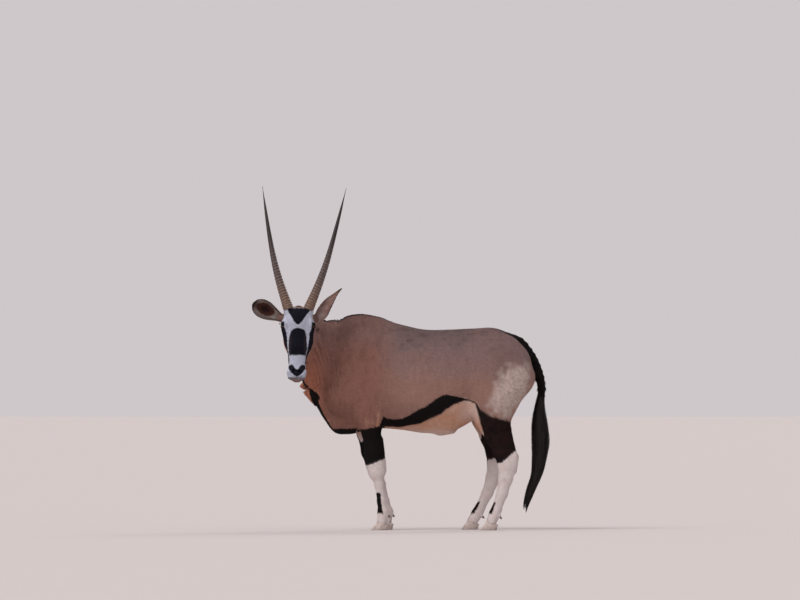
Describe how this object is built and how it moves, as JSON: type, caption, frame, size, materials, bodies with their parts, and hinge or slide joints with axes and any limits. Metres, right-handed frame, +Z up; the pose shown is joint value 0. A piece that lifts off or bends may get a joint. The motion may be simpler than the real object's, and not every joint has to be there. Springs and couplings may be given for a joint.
{
  "type": "gemsbok",
  "caption": "Life-size standing gemsbok (Oryx gazella), a still museum-like model with long ringed horns, a turned head and a hanging tail brush.",
  "frame": {"origin": "on the floor, under the middle of the whole animal's bounding box", "axes": "+Z up; the body lies along X with its head end at -X; its left flank faces -Y, and the turned head looks along -Y"},
  "size_m": [1.666, 0.5882, 1.9272],
  "materials": {
    "coat": "short matt fur",
    "tail": "long coarse black hair",
    "horn": "ringed keratin, satin",
    "hoof": "worn keratin, matt",
    "eye": "wet, glossy"
  },
  "bodies": {
    "root": {"torso": "coat", "neck": "coat", "head": "coat", "ear_left": "coat", "eye_left": "eye", "horn_left": "horn", "ear_right": "coat", "eye_right": "eye", "horn_right": "horn", "leg_front_left": "coat", "hoof_front_left_outer": "hoof", "dewclaw_front_left_outer": "hoof", "hoof_front_left_inner": "hoof", "dewclaw_front_left_inner": "hoof", "leg_front_right": "coat", "hoof_front_right_outer": "hoof", "dewclaw_front_right_outer": "hoof", "hoof_front_right_inner": "hoof", "dewclaw_front_right_inner": "hoof", "leg_hind_left": "coat", "hoof_hind_left_outer": "hoof", "dewclaw_hind_left_outer": "hoof", "hoof_hind_left_inner": "hoof", "dewclaw_hind_left_inner": "hoof", "leg_hind_right": "coat", "hoof_hind_right_outer": "hoof", "dewclaw_hind_right_outer": "hoof", "hoof_hind_right_inner": "hoof", "dewclaw_hind_right_inner": "hoof", "tail_dock": "tail", "tail_brush": "tail"}
  },
  "joints": []
}
